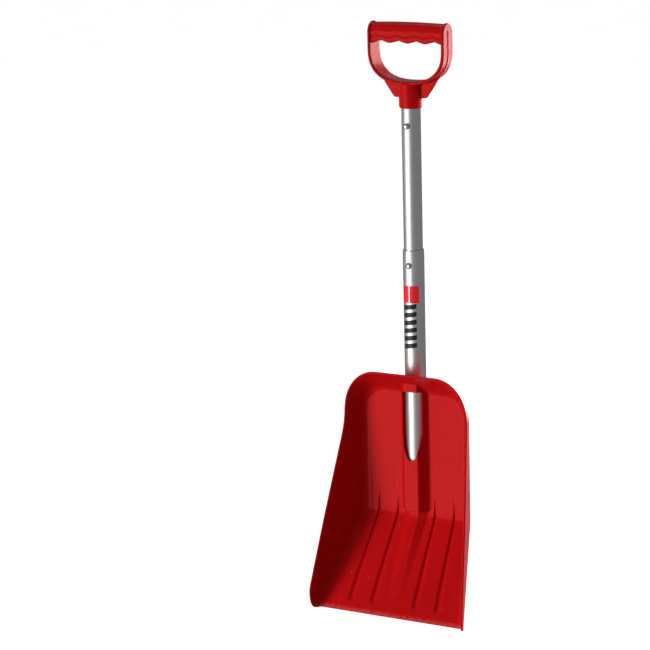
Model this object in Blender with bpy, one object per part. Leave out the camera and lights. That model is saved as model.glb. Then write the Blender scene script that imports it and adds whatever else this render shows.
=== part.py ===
"""Telescoping avalanche shovel, standing upright on its cutting edge with the shaft drawn out and locked.

Z runs up along the shaft, the hollow front of the blade faces -Y, and X runs across the blade.
All sizes are in metres. Each piece is made round the shaft's axis, with forward distances measured
from that axis towards -Y. Last of all the whole shovel is moved so that its origin is the middle of
the cutting edge.
"""

import math

import bmesh
import bpy
import numpy as np

MM = 0.001

# Clearances: between parts that slide, and between parts that only sit together.
SLIDE_GAP = 0.40 * MM
SEAT_GAP = 0.30 * MM

# Blade: a tray with a flat upper floor, a lower floor that sweeps forward, and flared walls on three sides.
BLADE_WALL = 3.0 * MM
EDGE_HALF = 107 * MM
EDGE_FORWARD = 85 * MM
BEND_Z = 121 * MM
BEND_SOFT = 9 * MM
FLOOR_HALF = 0.734 * EDGE_HALF
FLOOR_FORWARD = 3.5 * MM
FLOOR_TOP_Z = 294 * MM
CORNER_R = 34 * MM
RIM_TOP_FORWARD = FLOOR_FORWARD + 30.5 * MM
RIM_KNEE_Z = FLOOR_TOP_Z - 44 * MM
RIM_SLOPE = 0.30
SIDE_FLARE = 0.37
TOP_FLARE = 0.84
TIP_WALL = 5 * MM
TIP_ROUND_Z = 34 * MM
FILLET = 8 * MM

# Shaft tubes: the wide one stands in the blade, the narrow one slides in it by the slide length.
LOWER_R = 14.3 * MM
TUBE_WALL = 1.2 * MM
UPPER_R = LOWER_R - TUBE_WALL - SLIDE_GAP
SLIDE_LONG = 185 * MM
LOWER_END_Z = BEND_Z + 40 * MM
LOWER_TOP_Z = LOWER_END_Z + 324 * MM
LENGTH_BUTTON_Z = LOWER_TOP_Z - 20 * MM
STOW_BUTTON_Z = LENGTH_BUTTON_Z + SLIDE_LONG
UPPER_END_Z = LENGTH_BUTTON_Z - 41 * MM
TUBE_CHAMFER = 0.5 * MM

# Socket moulded with the blade, its window in front and its drain below.
SOCKET_R = LOWER_R + SLIDE_GAP
SOCKET_WALL = 2.7 * MM
SOCKET_TOP_Z = FLOOR_TOP_Z + 18 * MM
SOCKET_BACK_DROP = 16 * MM
CROWN_FORWARD = SOCKET_R + 2.6 * MM
CROWN_HALF = 0.69 * SOCKET_R
CROWN_FLANK = 0.64
CROWN_END_Z = BEND_Z + 8 * MM
WINDOW_TOP_Z = FLOOR_TOP_Z
WINDOW_FOOT_Z = LOWER_END_Z + 37.5 * MM
WINDOW_HALF = SOCKET_R + 0.6 * MM
WINDOW_CURVE = 0.42 * (WINDOW_TOP_Z - WINDOW_FOOT_Z)
DRAIN_R = 3 * MM

# Grooves pressed into the lower floor, two on each side, and the ridge between them.
GROOVE_FOOT = (0.300 * EDGE_HALF, 0.617 * EDGE_HALF)
GROOVE_BEND = (0.357 * FLOOR_HALF, 0.726 * FLOOR_HALF)
GROOVE_HALF = 4.6 * MM
GROOVE_DEPTH = 3.0 * MM
GROOVE_END_Z = 12 * MM
GROOVE_TIP_Z = BEND_Z + 34 * MM
RIDGE_FOOT = 10 * MM
RIDGE_BEND = SOCKET_R + 2.3 * MM
RIDGE_HEIGHT = 7 * MM

# Snap buttons: one holds the blade at the back, two set the length at the front.
BUTTON_R = 4.0 * MM
BUTTON_HOLE_R = BUTTON_R + SLIDE_GAP
BUTTON_FLANGE_R = BUTTON_R + 1 * MM
BUTTON_FLANGE = 1.0 * MM
BUTTON_STANDS = 2.6 * MM
BLADE_BUTTON_Z = WINDOW_FOOT_Z + 10.5 * MM
SPRING_WIDE = 7.0 * MM
SPRING_THICK = 0.6 * MM
SPRING_LONG = 32 * MM

# Handle: a bent strap with a grip bar across its top, two fins and a ferrule.
HANDLE_HALF = 55.8 * MM
HANDLE_DEPTH = 29 * MM
STRAP_THICK = 4.2 * MM
FERRULE_R = UPPER_R + 2.8 * MM
FERRULE_END_Z = STOW_BUTTON_Z + 22.5 * MM
STRAP_LOW_Z = FERRULE_END_Z + 31.5 * MM
STRAP_KNEE_Z = STRAP_LOW_Z + 46 * MM
UPPER_TOP_Z = STRAP_LOW_Z - 2 * MM
GRIP_LOW_Z = STRAP_KNEE_Z + 8.5 * MM
GRIP_TOP_Z = GRIP_LOW_Z + 25.9 * MM
GRIP_DEPTH = 25 * MM
HANDLE_TOP_Z = GRIP_TOP_Z + 0.2 * MM
SCALLOP = 1.6 * MM
FIN_THICK = 5.0 * MM
FIN_END_Z = FERRULE_END_Z + 13.5 * MM
RIVET_R = 2.4 * MM
RIVET_Z = FIN_END_Z

ROUND_STEPS = 56


# ---------------------------------------------------------------- shared helpers


def clear_scene():
    for old in list(bpy.data.objects):
        bpy.data.objects.remove(old, do_unlink=True)


def paint(name, colour, roughness, metallic):
    """A Principled material of one colour."""
    made = bpy.data.materials.new(name)
    made.use_nodes = True
    shader = made.node_tree.nodes["Principled BSDF"]
    shader.inputs["Base Color"].default_value = (*colour, 1)
    shader.inputs["Roughness"].default_value = roughness
    shader.inputs["Metallic"].default_value = metallic
    made.diffuse_color = (*colour, 1)
    return made


def add_object(name, bm, material=None, smooth_below=40):
    """The bmesh as an object, smooth except at edges sharper than the angle in degrees."""
    bmesh.ops.recalc_face_normals(bm, faces=bm.faces)
    for face in bm.faces:
        face.smooth = True
    for edge in bm.edges:
        edge.smooth = edge.calc_face_angle(0) < math.radians(smooth_below)
    mesh = bpy.data.meshes.new(name)
    bm.to_mesh(mesh)
    bm.free()
    obj = bpy.data.objects.new(name, mesh)
    bpy.context.scene.collection.objects.link(obj)
    if material:
        mesh.materials.append(material)
    return obj


def loft(rings, wrap=False):
    """A closed solid through rings of equal point counts; wrap joins the last ring to the first."""
    bm = bmesh.new()
    rows = [[bm.verts.new(p) for p in ring] for ring in rings]
    count = len(rows[0])
    pairs = list(zip(rows, rows[1:]))
    if wrap:
        pairs.append((rows[-1], rows[0]))
    for low, high in pairs:
        for i in range(count):
            j = (i + 1) % count
            bm.faces.new((low[i], low[j], high[j], high[i]))
    if not wrap:
        bm.faces.new(rows[0])
        bm.faces.new(rows[-1])
    return bm


def circle(radius, z, steps=ROUND_STEPS, x=0.0, y=0.0):
    turns = [2 * math.pi * i / steps for i in range(steps)]
    return [(x + radius * math.cos(t), y + radius * math.sin(t), z) for t in turns]


def turned(profile, steps=ROUND_STEPS, wrap=False):
    """A solid of revolution about Z from (radius, height) pairs; wrap is for a tube's closed section."""
    return loft([circle(r, z, steps) for r, z in profile], wrap)


def hide_helper(obj):
    obj.hide_render = True
    obj.display_type = "WIRE"


def boolean(target, helper, operation):
    """Adds an exact Boolean with a hidden helper solid."""
    hide_helper(helper)
    step = target.modifiers.new(helper.name, "BOOLEAN")
    step.operation = operation
    step.solver = "EXACT"
    step.object = helper


def cross_pin(name, radius, z, low_y, high_y):
    """A cylinder along Y, used to cut the holes that buttons and rivets pass through."""
    steps = 32
    turns = [2 * math.pi * i / steps for i in range(steps)]
    rings = []
    for y in (low_y, high_y):
        rings.append([(radius * math.cos(t), y, z + radius * math.sin(t)) for t in turns])
    return add_object(name, loft(rings))


# ---------------------------------------------------------------- blade


def soft_ramp(t, width):
    """Zero below nought and t above it, with a knee rounded over the width on each side."""
    if abs(t) >= width:
        return max(t, 0.0)
    return (t + width) ** 2 / (4 * width)


def ease(t):
    t = min(max(t, 0.0), 1.0)
    return t * t * (3 - 2 * t)


def blend(a, b, t):
    return a + (b - a) * t


def floor_forward(z):
    """How far the floor's front face stands forward of the shaft's axis."""
    sweep = (EDGE_FORWARD - FLOOR_FORWARD) / BEND_Z
    return FLOOR_FORWARD + sweep * soft_ramp(BEND_Z - z, BEND_SOFT)


def floor_half(z):
    """Half the floor's width before its top corners are rounded."""
    widen = (EDGE_HALF - FLOOR_HALF) / BEND_Z
    return FLOOR_HALF + widen * soft_ramp(BEND_Z - z, BEND_SOFT)


def wall_depth(z):
    """How far the rim stands forward of the floor."""
    rim = RIM_TOP_FORWARD + RIM_SLOPE * soft_ramp(RIM_KNEE_Z - z, 20 * MM)
    depth = rim - floor_forward(z)
    if z < TIP_ROUND_Z:
        rise = math.sqrt(1 - (1 - z / TIP_ROUND_Z) ** 2)
        depth = TIP_WALL + (depth - TIP_WALL) * rise
    return depth


def row_heights():
    """Heights of the floor's rows, closer where the shape turns, with the angle round the top corner."""
    straight = []
    straight += list(np.linspace(0, GROOVE_END_Z + 8 * MM, 7))
    straight += list(np.linspace(GROOVE_END_Z + 16 * MM, BEND_Z - 14 * MM, 6))
    straight += list(np.linspace(BEND_Z - 7 * MM, BEND_Z + 7 * MM, 5))
    straight += list(np.linspace(BEND_Z + 14 * MM, GROOVE_TIP_Z, 3))
    straight += list(np.linspace(GROOVE_TIP_Z + 24 * MM, FLOOR_TOP_Z - CORNER_R, 4))
    rows = [(z, 0.0) for z in straight]
    for angle in np.linspace(0, math.pi / 2, 8)[1:]:
        rows.append((FLOOR_TOP_Z - CORNER_R + CORNER_R * math.sin(angle), angle))
    return rows


def groove_half(z):
    """Half a groove's width: full at its foot and nothing at its tip."""
    fade = (GROOVE_TIP_Z - z) / (GROOVE_TIP_Z - GROOVE_END_Z)
    return GROOVE_HALF * blend(0.35, 1.0, ease(fade))


def groove_depth(z):
    foot = ease((z - GROOVE_END_Z) / (5 * MM))
    tip = ease((GROOVE_TIP_Z - z) / (GROOVE_TIP_Z - BEND_Z + 10 * MM))
    return GROOVE_DEPTH * foot * tip


def ridge_height(z):
    foot = ease((z - 5 * MM) / BEND_Z)
    fade = ease((CROWN_END_Z + 22 * MM - z) / (12 * MM))
    return RIDGE_HEIGHT * foot * fade


def half_columns(z):
    """(x, push) pairs from the middle of the floor to its side: push is how far a point stands forward."""
    along = min(z / BEND_Z, 1.0)
    ridge = blend(RIDGE_FOOT, RIDGE_BEND, along)
    lift = ridge_height(z)
    columns = [(0.0, lift), (0.38 * ridge, lift), (ridge, 0.0)]
    edge = ridge
    for foot, bend in zip(GROOVE_FOOT, GROOVE_BEND):
        middle = blend(foot, bend, along)
        half = groove_half(z)
        deep = -groove_depth(z)
        columns.append((blend(edge, middle - half, 0.5), 0.0))
        for side, push in ((-1, 0.0), (-0.35, deep), (0.35, deep), (1, 0.0)):
            columns.append((middle + side * half, push))
        edge = middle + half
    side = floor_half(z) - fillet_at(z)
    columns.append((blend(edge, side, 0.5), 0.0))
    columns.append((side, 0.0))
    return columns


def fillet_at(z):
    return min(FILLET, 0.45 * wall_depth(z))


def rounded_half(z, angle):
    """Half the floor's width where the top corners take it in."""
    return floor_half(z) - CORNER_R * (1 - math.cos(angle))


def floor_rows(rows):
    """The floor's points, row by row, each row from -X to +X."""
    grid = []
    for z, angle in rows:
        border = rounded_half(z, angle) - fillet_at(z) * math.cos(angle)
        shrink = border / (floor_half(z) - fillet_at(z))
        low = z - fillet_at(z) * math.sin(angle)
        forward = floor_forward(low)
        half = [(x * shrink, push) for x, push in half_columns(z)]
        right = [(x, -(forward + push), low) for x, push in half]
        left = [(-x, y, height) for x, y, height in reversed(right[1:])]
        grid.append(left + right)
    return grid


def wall_rings(crease, outward, depth, flare, fillet):
    """Points up the wall from the floor: a fillet of two steps, then the flared wall to its rim."""
    x, y, z = crease
    out_x, out_z = outward
    up = min(fillet, 0.5 * depth)
    points = []
    for t in (0.5, 1.0):
        inward = fillet * (1 - t) ** 2
        rise = up * t * t
        shift = flare * rise - inward
        points.append((x + out_x * shift, y - rise, z + out_z * shift))
    for rise in (blend(up, depth, 0.5), depth):
        shift = flare * rise
        points.append((x + out_x * shift, y - rise, z + out_z * shift))
    return points


def side_wall(rows):
    """Wall points for the right-hand side, one list for each row."""
    strips = []
    for z, angle in rows:
        half = rounded_half(z, angle)
        flare = blend(SIDE_FLARE, TOP_FLARE, ease(angle / (math.pi / 2)))
        outward = (math.cos(angle), math.sin(angle))
        crease = (half, -floor_forward(z), z)
        strips.append(wall_rings(crease, outward, wall_depth(z), flare, fillet_at(z)))
    return strips


def top_wall(top_row):
    """Wall points along the straight top, above each point of the floor's last row."""
    crease_z = FLOOR_TOP_Z
    depth = wall_depth(crease_z)
    strips = []
    for x, y, _ in top_row:
        crease = (x, -floor_forward(crease_z), crease_z)
        strips.append(wall_rings(crease, (0.0, 1.0), depth, TOP_FLARE, fillet_at(crease_z)))
    return strips


def blade_sheet():
    """The blade's front surface as one open sheet that faces forward."""
    rows = row_heights()
    grid = floor_rows(rows)
    right = side_wall(rows)
    left = [[(-x, y, z) for x, y, z in strip] for strip in right]
    top = top_wall(grid[-1])
    bm = bmesh.new()
    floor = [[bm.verts.new(p) for p in row] for row in grid]
    for low, high in zip(floor, floor[1:]):
        for i in range(len(low) - 1):
            bm.faces.new((low[i], low[i + 1], high[i + 1], high[i]))
    rim = left + top[1:-1] + right[::-1]
    border = [row[0] for row in floor] + floor[-1][1:-1] + [row[-1] for row in floor][::-1]
    strips = [[bm.verts.new(p) for p in strip] for strip in rim]
    strips = [[base] + strip for base, strip in zip(border, strips)]
    for one, two in zip(strips, strips[1:]):
        for i in range(len(one) - 1):
            bm.faces.new((one[i], two[i], two[i + 1], one[i + 1]))
    bmesh.ops.recalc_face_normals(bm, faces=bm.faces)
    if sum(face.normal.y for face in bm.faces) > 0:
        bmesh.ops.reverse_faces(bm, faces=bm.faces)
    bm.normal_update()
    return bm


def thicken(bm, wall):
    """Gives an open sheet its wall, added behind it, and closes the edges."""
    edges = [edge for edge in bm.edges if edge.is_boundary]
    faces = list(bm.faces)
    behind = {}
    for vertex in list(bm.verts):
        lean = [max(vertex.normal.dot(face.normal), 0.7) for face in vertex.link_faces]
        reach = wall * len(lean) / sum(lean)
        behind[vertex] = bm.verts.new(vertex.co - vertex.normal * reach)
    for face in faces:
        bm.faces.new([behind[vertex] for vertex in reversed(face.verts)])
    for edge in edges:
        one, two = edge.verts
        bm.faces.new((one, two, behind[two], behind[one]))


def socket_section(z, crown, back, narrow=1.0):
    """One level of the socket: a flat crown with sloping flanks in front and a half round behind."""
    round_r = SOCKET_R + SOCKET_WALL
    flank = CROWN_HALF + CROWN_FLANK * (CROWN_FORWARD - FLOOR_FORWARD) + 1 * MM
    points = [(-CROWN_HALF * narrow, -crown, z), (CROWN_HALF * narrow, -crown, z)]
    points.append((flank * narrow, -min(FLOOR_FORWARD - 1 * MM, crown), z))
    for i in range(17):
        turn = math.pi * i / 16
        depth = blend(-min(FLOOR_FORWARD - 3 * MM, crown), round_r * math.sin(turn), back)
        points.append((round_r * math.cos(turn) * narrow, depth, z))
    points.append((-flank * narrow, -min(FLOOR_FORWARD - 1 * MM, crown), z))
    return points


def slope_back(ring):
    """Lowers a ring towards the back, from nothing at the crown to SOCKET_BACK_DROP behind the tube."""
    span = CROWN_FORWARD + SOCKET_R + SOCKET_WALL
    return [(x, y, z - SOCKET_BACK_DROP * (y + CROWN_FORWARD) / span) for x, y, z in ring]


def socket_body():
    """The socket's outside, from where it grows out of the bend to its open, sloping top."""
    base = LOWER_END_Z - 3 * MM
    levels = [
        (SOCKET_TOP_Z, CROWN_FORWARD, 1.0, 1.0),
        (base, CROWN_FORWARD, 1.0, 1.0),
        (blend(base, CROWN_END_Z, 0.5), CROWN_FORWARD, 0.75, 0.98),
        (CROWN_END_Z, CROWN_FORWARD - 0.5 * MM, 0.30, 0.94),
        (CROWN_END_Z - 5 * MM, FLOOR_FORWARD + RIDGE_HEIGHT, 0.12, 0.90),
    ]
    rings = [socket_section(z, crown, back, narrow) for z, crown, back, narrow in levels]
    rings[0] = slope_back(rings[0])
    return add_object("socket_body", loft(rings))


def window_cutter():
    """The opening in front of the socket: flat at the top and a long curve at its foot."""
    steps = 14
    outline = []
    for i in range(steps + 1):
        x = blend(-WINDOW_HALF, WINDOW_HALF, i / steps)
        outline.append((x, WINDOW_FOOT_Z + WINDOW_CURVE * abs(x / WINDOW_HALF) ** 2.6))
    corner = 3 * MM
    for side in (1, -1):
        for turn in (0, 45, 90) if side > 0 else (90, 45, 0):
            x = side * (WINDOW_HALF - corner + corner * math.cos(math.radians(turn)))
            outline.append((x, WINDOW_TOP_Z - corner + corner * math.sin(math.radians(turn))))
    rings = [[(x, y, z) for x, z in outline] for y in (-3 * SOCKET_R, -0.4 * SOCKET_R)]
    return add_object("window_cutter", loft(rings))


def edge_cutter():
    """Trims the foot of the blade level, which leaves a flat land along the cutting edge."""
    wide = EDGE_HALF + 40 * MM
    near, far = -(EDGE_FORWARD + 60 * MM), 0.0
    rings = []
    for z in (-30 * MM, 0.0):
        rings.append([(-wide, near, z), (wide, near, z), (wide, far, z), (-wide, far, z)])
    return add_object("edge_cutter", loft(rings))


def make_blade(material):
    sheet = blade_sheet()
    thicken(sheet, BLADE_WALL)
    blade = add_object("blade", sheet, material, smooth_below=24)
    boolean(blade, socket_body(), "UNION")
    bore = [(SOCKET_R, LOWER_END_Z - SEAT_GAP), (SOCKET_R, SOCKET_TOP_Z + 60 * MM)]
    boolean(blade, add_object("socket_bore", turned(bore)), "DIFFERENCE")
    boolean(blade, window_cutter(), "DIFFERENCE")
    hole = cross_pin("blade_button_hole", BUTTON_HOLE_R, BLADE_BUTTON_Z, 0.0, 2 * SOCKET_R)
    boolean(blade, hole, "DIFFERENCE")
    drain = [circle(DRAIN_R, z, 24, y=0.55 * SOCKET_R) for z in (BEND_Z, LOWER_END_Z + 1 * MM)]
    boolean(blade, add_object("socket_drain", loft(drain)), "DIFFERENCE")
    boolean(blade, edge_cutter(), "DIFFERENCE")
    return blade


# ---------------------------------------------------------------- shaft


def tube(name, radius, low, high, material):
    """A round tube with a small chamfer on each outer edge."""
    inner = radius - TUBE_WALL
    profile = [
        (inner, low),
        (radius - TUBE_CHAMFER, low),
        (radius, low + TUBE_CHAMFER),
        (radius, high - TUBE_CHAMFER),
        (radius - TUBE_CHAMFER, high),
        (inner, high),
    ]
    return add_object(name, turned(profile, wrap=True), material)


def make_lower_tube(material):
    """The wide tube, with a hole behind for the blade's button and one in front for the length buttons."""
    made = tube("lower_tube", LOWER_R, LOWER_END_Z, LOWER_TOP_Z, material)
    back = cross_pin("lower_back_hole", BUTTON_HOLE_R, BLADE_BUTTON_Z, 0.0, 2 * LOWER_R)
    front = cross_pin("lower_front_hole", BUTTON_HOLE_R, LENGTH_BUTTON_Z, -2 * LOWER_R, 0.0)
    boolean(made, back, "DIFFERENCE")
    boolean(made, front, "DIFFERENCE")
    return made


def make_upper_tube(material):
    """The narrow tube, with its two button holes in front and a rivet hole behind."""
    made = tube("upper_tube", UPPER_R, UPPER_END_Z, UPPER_TOP_Z, material)
    for name, z in (("upper_length_hole", LENGTH_BUTTON_Z), ("upper_stow_hole", STOW_BUTTON_Z)):
        boolean(made, cross_pin(name, BUTTON_HOLE_R, z, -2 * UPPER_R, 0.0), "DIFFERENCE")
    rivet = cross_pin("upper_rivet_hole", RIVET_R + SEAT_GAP, RIVET_Z, 0.0, 2 * UPPER_R)
    boolean(made, rivet, "DIFFERENCE")
    return made


def make_tube_plug(material):
    """A flanged plug that closes the wide tube's lower end."""
    bore = LOWER_R - TUBE_WALL - SEAT_GAP
    low = LOWER_END_Z + 1 * MM
    high = low + 9 * MM
    profile = [(0.75 * bore, low), (bore - 0.6 * MM, low), (bore, low + 0.6 * MM)]
    profile += [(bore, high - 1 * MM), (bore - 1 * MM, high), (0.75 * bore, high)]
    profile += [(0.72 * bore, low + 3 * MM), (0.30 * bore, low + 2.4 * MM)]
    bottom = [(0.30 * bore, low + 0.8 * MM), (0.72 * bore, low + 0.8 * MM)]
    return add_object("tube_plug", turned(profile + bottom, 40, wrap=True), material)


def snap_button(name, tube_r, top_r, z, side, material):
    """A domed button on a flange, lying along Y: side is -1 at the front and +1 at the back."""
    bore = tube_r - TUBE_WALL
    seat = math.sqrt(bore**2 - BUTTON_FLANGE_R**2) - SEAT_GAP
    dome = 2.2 * MM
    profile = [(BUTTON_FLANGE_R, seat - BUTTON_FLANGE), (BUTTON_FLANGE_R, seat)]
    profile += [(BUTTON_R, seat), (BUTTON_R, top_r - dome)]
    for turn in (22, 45, 68, 84):
        angle = math.radians(turn)
        profile.append((BUTTON_R * math.cos(angle), top_r - dome + dome * math.sin(angle)))
    steps = 28
    turns = [2 * math.pi * i / steps for i in range(steps)]
    rings = []
    for radius, reach in profile:
        ring = [(radius * math.cos(t), side * reach, z + radius * math.sin(t)) for t in turns]
        rings.append(ring)
    return add_object(name, loft(rings), material)


def leaf_spring(name, tube_r, z, side, rise, material):
    """A V of spring strip: one leg under the button's flange, the other on the far wall of the tube."""
    bore = tube_r - TUBE_WALL
    flange = math.sqrt(bore**2 - BUTTON_FLANGE_R**2) - SEAT_GAP - BUTTON_FLANGE
    near = flange - SEAT_GAP
    far = -(math.sqrt(bore**2 - (0.5 * SPRING_WIDE) ** 2) - SEAT_GAP)
    heel = z - rise * BUTTON_FLANGE_R
    knee = z + rise * 1.3 * BUTTON_FLANGE_R
    apex = z + rise * SPRING_LONG
    bend = 3.2 * MM
    outer = [(near, heel), (near, knee)]
    inner = [(near - SPRING_THICK, heel), (near - SPRING_THICK, knee)]
    for turn in np.linspace(60, -90, 7):
        angle = math.radians(turn)
        middle = far + bend
        outer.append((middle + bend * math.sin(angle), apex + rise * (bend * math.cos(angle) - bend)))
        small = bend - SPRING_THICK
        inner.append((middle + small * math.sin(angle), apex + rise * (small * math.cos(angle) - bend)))
    outer.append((far, heel))
    inner.append((far + SPRING_THICK, heel))
    outline = outer + inner[::-1]
    half = 0.5 * SPRING_WIDE
    rings = [[(x, side * reach, height) for reach, height in outline] for x in (-half, half)]
    return add_object(name, loft(rings), material)


def set_origin(obj, point):
    """Moves an object's origin to a point without moving its shape."""
    for vertex in obj.data.vertices:
        vertex.co.x -= point[0]
        vertex.co.y -= point[1]
        vertex.co.z -= point[2]
    obj.location = point


# ---------------------------------------------------------------- handle


def strap_path(offset):
    """Points down the left leg, round under the hand and up the right leg, set in from the outside."""
    half = HANDLE_HALF - offset
    drop = STRAP_KNEE_Z - STRAP_LOW_Z - offset
    points = [(-half, HANDLE_TOP_Z), (-half, blend(STRAP_KNEE_Z, HANDLE_TOP_Z, 0.5))]
    for i in range(25):
        turn = math.pi * i / 24
        across = -math.copysign(abs(math.cos(turn)) ** 0.8, math.cos(turn))
        down = abs(math.sin(turn)) ** 0.8
        points.append((half * across, STRAP_KNEE_Z - drop * down))
    points += [(half, blend(STRAP_KNEE_Z, HANDLE_TOP_Z, 0.5)), (half, HANDLE_TOP_Z)]
    return points


def strap_body(material):
    """The strap: wide front to back, with its long edges eased."""
    half = 0.5 * HANDLE_DEPTH
    ease_by = 1.1 * MM
    corners = (
        (0.0, -half + ease_by),
        (ease_by, -half),
        (STRAP_THICK - ease_by, -half),
        (STRAP_THICK, -half + ease_by),
        (STRAP_THICK, half - ease_by),
        (STRAP_THICK - ease_by, half),
        (ease_by, half),
        (0.0, half - ease_by),
    )
    paths = [(strap_path(inset), y) for inset, y in corners]
    rings = []
    for i in range(len(paths[0][0])):
        rings.append([(path[i][0], y, path[i][1]) for path, y in paths])
    return add_object("d_handle", loft(rings), material)


def end_round_cutter(side):
    """Takes the square corners off a leg's top, leaving it round as seen from the side."""
    radius = 0.5 * HANDLE_DEPTH
    middle = HANDLE_TOP_Z - radius
    far = radius + 10 * MM
    outline = [(-far, middle), (-far, HANDLE_TOP_Z + 10 * MM), (far, HANDLE_TOP_Z + 10 * MM), (far, middle)]
    for i in range(17):
        turn = math.pi * i / 16
        outline.append((radius * math.cos(turn), middle + radius * math.sin(turn)))
    near, wide = (HANDLE_HALF - 12 * MM) * side, (HANDLE_HALF + 5 * MM) * side
    rings = [[(x, y, z) for y, z in outline] for x in (near, wide)]
    return add_object("end_round_" + ("right" if side > 0 else "left"), loft(rings))


def grip_section(x):
    """One slice of the grip: crowned above, and drawn down to a scalloped lip below."""
    along = x / (HANDLE_HALF - STRAP_THICK)
    top = GRIP_TOP_Z - 1.2 * MM * along**2
    low = GRIP_LOW_Z - SCALLOP * math.cos(4 * math.pi * along)
    tall = 0.5 * (top - low)
    points = []
    for i in range(20):
        turn = 2 * math.pi * i / 20
        wide = math.copysign(abs(math.cos(turn)) ** 0.75, math.cos(turn))
        high = math.copysign(abs(math.sin(turn)) ** 0.85, math.sin(turn))
        taper = 1.0 - 0.16 * max(-high, 0.0)
        points.append((x, 0.5 * GRIP_DEPTH * wide * taper, top - tall + tall * high))
    return points


def grip_body():
    reach = HANDLE_HALF - 0.5 * STRAP_THICK
    rings = [grip_section(x) for x in np.linspace(-reach, reach, 33)]
    return add_object("grip_body", loft(rings))


def fin_body():
    """The flat fins in the handle's middle plane, from the strap down both sides of the ferrule."""
    knee = blend(STRAP_LOW_Z, FIN_END_Z, 0.42)
    right = [(FERRULE_R - 3 * MM, FIN_END_Z), (FERRULE_R + 7 * MM, FIN_END_Z)]
    right += [(FERRULE_R + 9.5 * MM, FIN_END_Z + 1.6 * MM), (2 * FERRULE_R, knee)]
    right += [(0.74 * HANDLE_HALF, STRAP_LOW_Z + 8 * MM), (0.93 * HANDLE_HALF, STRAP_LOW_Z + 21 * MM)]
    inside = [(0.80 * HANDLE_HALF, STRAP_LOW_Z + 16 * MM), (0.35 * HANDLE_HALF, STRAP_LOW_Z + 3 * MM)]
    outline = right + inside
    outline += [(-x, z) for x, z in reversed(outline)]
    half = 0.5 * FIN_THICK
    rings = [[(x, y, z) for x, z in outline] for y in (-half, half)]
    return add_object("fin_body", loft(rings))


def ferrule_body():
    profile = [(FERRULE_R - 2.4 * MM, FERRULE_END_Z), (FERRULE_R - 0.8 * MM, FERRULE_END_Z + 0.7 * MM)]
    profile += [(FERRULE_R, FERRULE_END_Z + 2.4 * MM), (FERRULE_R + 0.4 * MM, STRAP_LOW_Z + 1.5 * MM)]
    return add_object("ferrule_body", turned(profile, 48))


def make_handle(material):
    handle = strap_body(material)
    boolean(handle, grip_body(), "UNION")
    boolean(handle, end_round_cutter(1), "DIFFERENCE")
    boolean(handle, end_round_cutter(-1), "DIFFERENCE")
    boolean(handle, fin_body(), "UNION")
    boolean(handle, ferrule_body(), "UNION")
    seat = [(UPPER_R + SEAT_GAP, FERRULE_END_Z - 5 * MM), (UPPER_R + SEAT_GAP, UPPER_TOP_Z + SEAT_GAP)]
    boolean(handle, add_object("handle_seat", turned(seat)), "DIFFERENCE")
    hole = cross_pin("handle_rivet_hole", RIVET_R + SEAT_GAP, RIVET_Z, 0.0, 2 * FERRULE_R)
    boolean(handle, hole, "DIFFERENCE")
    return handle


def make_rivet(material):
    """A blind rivet at the back that holds the handle on the narrow tube."""
    head = FERRULE_R + SEAT_GAP + 0.2 * MM
    inside = UPPER_R - TUBE_WALL - SEAT_GAP
    profile = [(RIVET_R * 1.5, inside - 2.0 * MM), (RIVET_R * 1.6, inside - 0.8 * MM)]
    profile += [(RIVET_R, inside - 0.6 * MM), (RIVET_R, head), (RIVET_R * 1.9, head)]
    profile += [(RIVET_R * 1.75, head + 0.8 * MM), (RIVET_R * 0.9, head + 1.4 * MM)]
    steps = 24
    turns = [2 * math.pi * i / steps for i in range(steps)]
    rings = []
    for radius, y in profile:
        ring = [(radius * math.cos(t), y, RIVET_Z + radius * math.sin(t)) for t in turns]
        rings.append(ring)
    return add_object("handle_rivet", loft(rings), material)


# ---------------------------------------------------------------- assembly


def move_to_cutting_edge():
    """Puts the frame's origin in the middle of the land along the cutting edge."""
    behind_edge = 0.5 * BLADE_WALL
    for obj in bpy.data.objects:
        obj.location.y += EDGE_FORWARD - behind_edge


def build():
    clear_scene()
    red = paint("red_plastic", (0.50, 0.012, 0.014), 0.28, 0.0)
    alloy = paint("brushed_aluminium", (0.62, 0.63, 0.64), 0.30, 1.0)
    steel = paint("button_steel", (0.70, 0.70, 0.70), 0.20, 1.0)
    black = paint("plug_plastic", (0.02, 0.02, 0.02), 0.45, 0.0)
    make_blade(red)
    make_lower_tube(alloy)
    make_tube_plug(black)
    make_upper_tube(alloy)
    make_handle(red)
    make_rivet(steel)
    length_top = LOWER_R + BUTTON_STANDS
    blade_top = SOCKET_R + SOCKET_WALL + 0.8 * BUTTON_STANDS
    buttons = (
        ("length_button", UPPER_R, length_top, LENGTH_BUTTON_Z, -1),
        ("stow_button", UPPER_R, length_top, STOW_BUTTON_Z, -1),
        ("blade_button", LOWER_R, blade_top, BLADE_BUTTON_Z, 1),
    )
    for name, tube_r, top_r, z, side in buttons:
        set_origin(snap_button(name, tube_r, top_r, z, side, steel), (0, side * top_r, z))
        leaf_spring(name.replace("button", "spring"), tube_r, z, side, -1, steel)
    move_to_cutting_edge()


build()
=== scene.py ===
# %% [markdown]
# # A telescoping avalanche shovel
# The shovel is a red moulded blade and D-handle on two aluminium tubes that slide in each other.
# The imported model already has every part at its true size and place. This lesson gives the parts
# their looks: finer meshes for the two mouldings, tubes and buttons, a label, and a material for
# everything that shows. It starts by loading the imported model, which is never moved or changed.

import math

import bmesh
import bpy
import numpy as np
from mathutils import Matrix, Vector


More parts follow.
